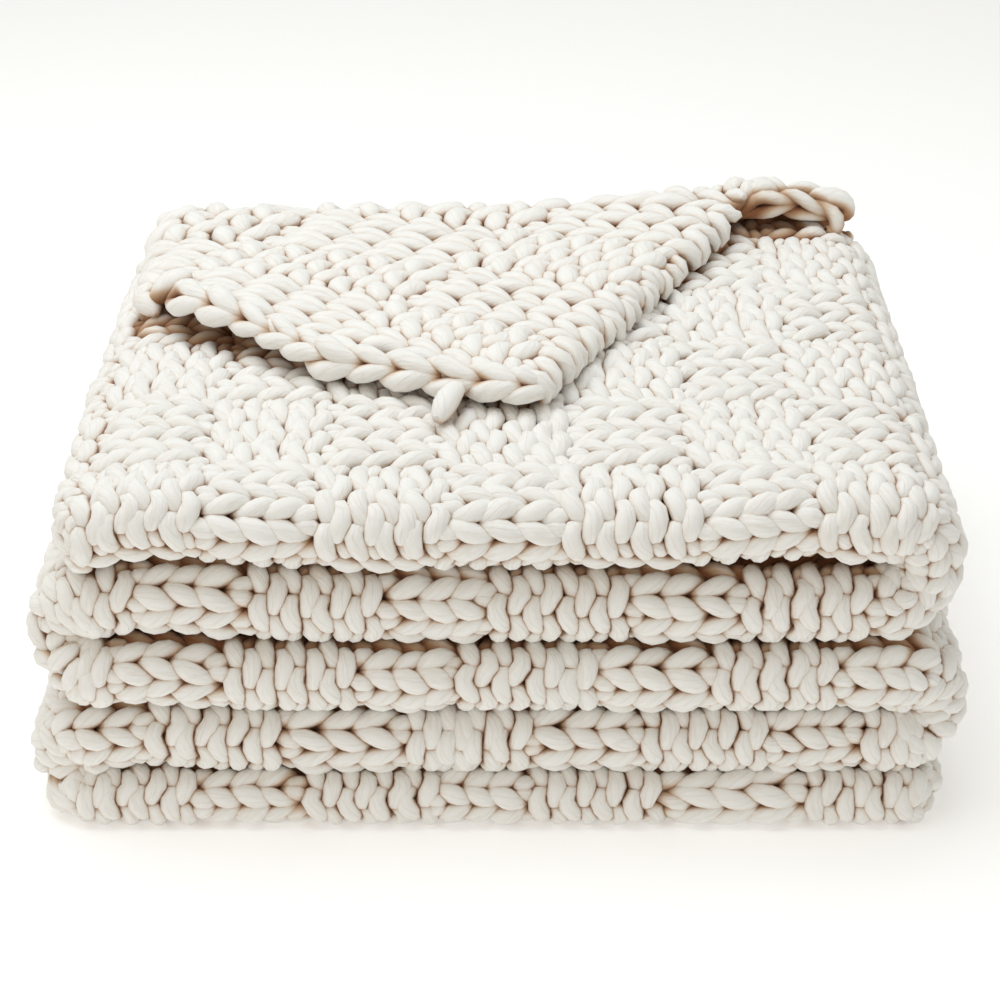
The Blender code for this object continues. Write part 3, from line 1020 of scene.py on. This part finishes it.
# One stitch has been pulled out of the chain and lies as a loose loop on the cloth below.
LoopPoint = namedtuple("LoopPoint", "x y dive radius")
PULLED_LOOP = (
    LoopPoint(-0.0190, -0.0800, 0.0040, 0.0030),
    LoopPoint(-0.0210, -0.0870, 0.0010, 0.0042),
    LoopPoint(-0.0238, -0.0945, 0.0000, 0.0056),
    LoopPoint(-0.0266, -0.1020, 0.0008, 0.0066),
    LoopPoint(-0.0290, -0.1085, 0.0026, 0.0064),
    LoopPoint(-0.0308, -0.1135, 0.0046, 0.0050),
    LoopPoint(-0.0318, -0.1165, 0.0060, 0.0030),
)
loop = np.array(PULLED_LOOP)
on_cloth, upward, _ = CORNER.at(loop[:, 0], loop[:, 1])
bare = np.zeros(len(loop))
loop_points = on_cloth - upward * loop[:, 2:3]
edge_strands.append(Strand(loop_points, loop[:, 3], bare + CROSSING, upward, bare))
add_yarn("yarn.corner_edge", edge_strands)


# ---- cast-on edge under the stack
CAST_ON_Y = 0.1860  # the floor layer ends here at the back
CAST_ON_HALF_WIDTH = 0.2150
CAST_ON_ROLL = 0.0026
CAST_ON_TILT = math.radians(78)
CAST_ON_FULLNESS = 0.86
CAST_ON_SHELTER = 0.35  # its lower row is painted in shade, since it lies in the dark under the stack
CAST_ON_DARK = (0.3, 0.6)  # and the painted shade begins between these places round it, in wales


def cast_on_line(course, wales):
    """The first row of the throw: a chain along the floor layer's back edge."""
    x = CAST_ON_HALF_WIDTH - course * EDGE_STITCH
    middle = np.array([x, CAST_ON_Y, layer_height(0, x, CAST_ON_Y)[0]])
    angle = CAST_ON_TILT + wales * math.pi
    out = np.stack([0 * angle, np.sin(angle), np.cos(angle)], axis=-1)
    return middle + out * CAST_ON_ROLL, out, CAST_ON_SHELTER * ease(abs(wales), *CAST_ON_DARK)


cast_on_stitches = int(2 * CAST_ON_HALF_WIDTH / EDGE_STITCH)
CAST_ON = Spread(
    np.arange(-1.0, cast_on_stitches + 2.01, COURSE_STEP), np.arange(-1.0, 1.01, CHAIN_STEP), cast_on_line
)
cast_on_strands = []
for course in range(cast_on_stitches):
    cast_on_strands += stitches(
        course, 0, 0, CAST_ON.at, all_knit, points=BACK_YARN.points, fullness=CAST_ON_FULLNESS
    )
add_yarn("yarn.cast_on", cast_on_strands, sides=BACK_YARN.sides)


# ---- the cloth inside the stack
CORE_SHORT = 0.030  # the inner cloth ends this far behind the corner's free edge
CORE_START = CAST_ON_Y - 0.008
CORE_HALF_WIDTH, CORE_ROWS = 0.2000, 25
CORE_THICKNESS = 0.0015
CORE_LEAST = 0.002  # the least length of its last layer
CORE_OPEN_FROM = 0.105  # right of here the corner lifts and shows its own inside, with nothing behind it
POINTS_ALONG, POINTS_ROUND = 24, 8  # along each layer, and round each fold
INSET_TURNS = (0.165, 0.190)  # between these places it passes from the front fold's inside to the back's


def inset(layer, y):
    """How far the inner cloth lies above a layer's middle, so that it keeps inside the folds."""
    if layer == FLAP_LAYER:
        return -INSET + 0 * y
    front, back = (INSET, -INSET) if layer % 2 == 0 else (-INSET, INSET)
    back = 0.0 if layer == FLAP_LAYER - 1 else back
    return front + (back - front) * ease(y, *INSET_TURNS)


def whole_line(x):
    """The line of all the inner cloth at one place across, from the cast-on end to the free edge."""
    line = []
    for layer in range(FLAP_LAYER + 1):
        side = -1 if layer % 2 == 0 else 1
        start = line[-1][0] if line else CORE_START
        if layer < FLAP_LAYER:
            turn = fold_round(layer, side, x)[0]
        else:
            turn = min(flap_edge_y(x) + CORE_SHORT, start - CORE_LEAST)
        ys = np.linspace(start, turn, POINTS_ALONG)[1 if line else 0 :]
        line += list(zip(ys, layer_height(layer, x, ys)[0] + inset(layer, ys)))
        if layer < FLAP_LAYER:
            low = line[-1][1]
            high = layer_height(layer + 1, x, turn)[0] + inset(layer + 1, turn)
            radius, middle = (high - low) / 2, (high + low) / 2
            for step in range(1, POINTS_ROUND + 1):
                angle = math.pi * step / POINTS_ROUND
                line.append((turn + side * radius * math.sin(angle), middle - radius * math.cos(angle)))
    return np.array([(x, y, z) for y, z in line])


core_xs = np.linspace(-CORE_HALF_WIDTH, CORE_HALF_WIDTH, CORE_ROWS)
core_lines = [whole_line(x) for x in core_xs]
last_under_corner = POINTS_ALONG + (FLAP_LAYER - 1) * (POINTS_ROUND + POINTS_ALONG - 1)
# The inner cloth stands in for the yarn deep inside the stack, seen only through the stitches; its brown is
# painted shade.
core = add_sheet(
    "inner.stack",
    core_lines,
    INNER_SHADE,
    lambda row, column: core_xs[row] <= CORE_OPEN_FROM or column < last_under_corner,
)
thicken = core.modifiers.new("cloth", "SOLIDIFY")
thicken.thickness, thicken.offset = CORE_THICKNESS, 0.0

# ---- put together
everything = yarn_pieces + inner_pieces + [core]
for piece in everything:
    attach(piece, "root")
    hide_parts("blanket")

FLOOR_HALF = 6.0  # half the width of the paper under and behind the stack
floor_corners = [[(x, y, 0.0) for y in (-FLOOR_HALF, FLOOR_HALF)] for x in (-FLOOR_HALF, FLOOR_HALF)]
sweep = add_sheet("paper_sweep", floor_corners, FLOOR)

# ---- light and camera
bpy.context.scene.view_settings.view_transform = "Standard"
# Soft light from all round, and two soft boxes: a large cool one overhead and a warm one from the front left
world = bpy.data.worlds.new("studio")
bpy.context.scene.world = world
world.use_nodes = True
world.node_tree.nodes["Background"].inputs["Color"].default_value = colour("#FFFCF5")
world.node_tree.nodes["Background"].inputs["Strength"].default_value = 0.50

STACK_MIDDLE = Vector((0, 0, 0.1))


def soft_box(name, place, size, power, tint):
    """A square studio light aimed at the middle of the stack."""
    light = bpy.data.lights.new(name, "AREA")
    light.energy, light.size = power, size
    light.color = colour(tint)[:3]
    lamp = add_object(name, light)
    lamp.location = place
    lamp.rotation_euler = (STACK_MIDDLE - Vector(place)).to_track_quat("-Z", "Y").to_euler()


soft_box("over_the_stack", (-0.3, 0.1, 1.6), 1.4, 15.6, "#F4FAFF")
soft_box("front_left", (-1.2, -1.4, 1.1), 1.2, 2.7, "#FFE3C4")

# A long lens that looks down on the stack by 27.5 degrees
camera = add_object("camera", bpy.data.cameras.new("camera"))
camera.location = (0.0, -1.34995, 0.78936)
camera.rotation_euler = (math.radians(90 - 27.5), 0.0, 0.0)
camera.data.lens, camera.data.sensor_width = 96.48, 36.0
camera.data.clip_start, camera.data.clip_end = 0.05, 50.0
bpy.context.scene.camera = camera
